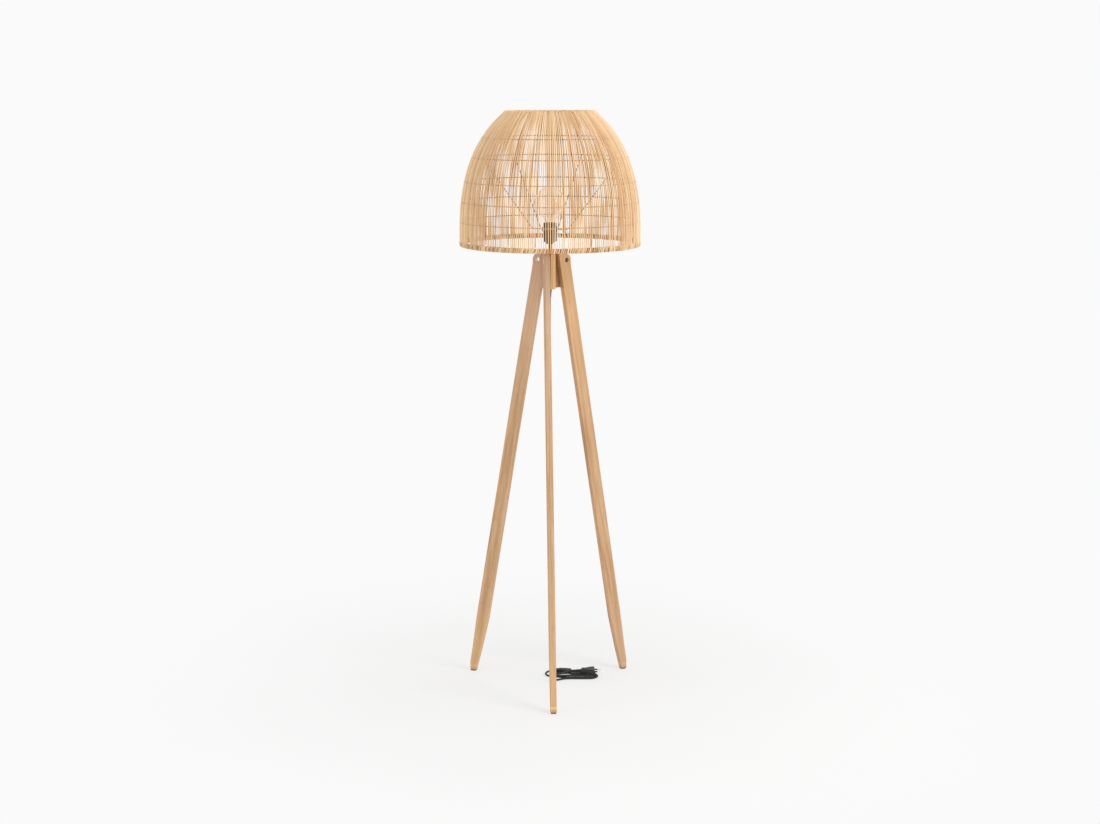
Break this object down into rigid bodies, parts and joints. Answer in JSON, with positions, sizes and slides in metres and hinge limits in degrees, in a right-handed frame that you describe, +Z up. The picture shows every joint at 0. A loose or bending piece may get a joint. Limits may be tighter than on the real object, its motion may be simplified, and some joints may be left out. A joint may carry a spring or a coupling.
{
  "type": "floor lamp",
  "caption": "Floor lamp with a domed cage shade of thin canes on leaning plank legs, with a clear bulb, and a floor cord with an inline switch and plug.",
  "frame": {"origin": "on the floor, under the middle of the shade and of the hub", "axes": "+Z up; -Y towards the viewer of the picture; +X to the viewer's right"},
  "size_m": [0.4688, 0.4815, 1.5195],
  "materials": {
    "leg_wood": "light oiled",
    "foot_pad": "matte",
    "cane": "natural matte",
    "cane_binding": "natural matte",
    "wire": "satin",
    "steel": "satin",
    "black_plastic": "matte",
    "cord": "matte",
    "bulb_glass": "clear, faintly amber",
    "filament": "coated"
  },
  "bodies": {
    "root": {"leg_front": "leg_wood", "leg_right": "leg_wood", "leg_left": "leg_wood", "hub": "leg_wood", "dowel_front": "leg_wood", "dowel_right": "leg_wood", "dowel_left": "leg_wood", "foot_pad_front": "foot_pad", "foot_pad_right": "foot_pad", "foot_pad_left": "foot_pad", "cane_panel_01": "cane", "cane_panel_02": "cane", "cane_panel_03": "cane", "cane_panel_04": "cane", "cane_panel_05": "cane", "cane_panel_06": "cane", "cane_panel_07": "cane", "cane_panel_08": "cane", "cane_panel_09": "cane", "cane_panel_10": "cane", "rim_binding": "cane_binding", "mouth_ring": "cane_binding", "hoop_1": "wire", "hoop_2": "wire", "hoop_3": "wire", "hoop_4": "wire", "hoop_5": "wire", "rib_01": "wire", "rib_02": "wire", "rib_03": "wire", "rib_04": "wire", "rib_05": "wire", "rib_06": "wire", "rib_07": "wire", "rib_08": "wire", "rib_09": "wire", "rib_10": "wire", "rim_wire": "wire", "shade_carrier": "wire", "threaded_tube": "steel", "hub_nut_upper": "steel", "hub_nut_lower": "steel", "bulb_cap": "steel", "plug_pin_front": "steel", "plug_pin_rear": "steel", "cord_outlet_relief": "black_plastic", "lampholder_base": "black_plastic", "lampholder_shell": "black_plastic", "shade_ring_lower": "black_plastic", "shade_ring_upper": "black_plastic", "switch_base": "black_plastic", "switch_cover": "black_plastic", "plug_body": "black_plastic", "plug_relief": "black_plastic", "cord_lead": "cord", "cord_hank": "cord", "bulb_glass": "bulb_glass", "bulb_stem": "bulb_glass", "bulb_filament": "filament"},
    "switch_rocker": {"switch_rocker": "black_plastic"}
  },
  "joints": [
    {"name": "switch_rocker_tilt", "type": "hinge", "parent": "root", "child": "switch_rocker", "pos_m": [0.034, 0.0815, 0.0095], "axis": [0, 1, 0], "range_deg": [0, 14]}
  ]
}
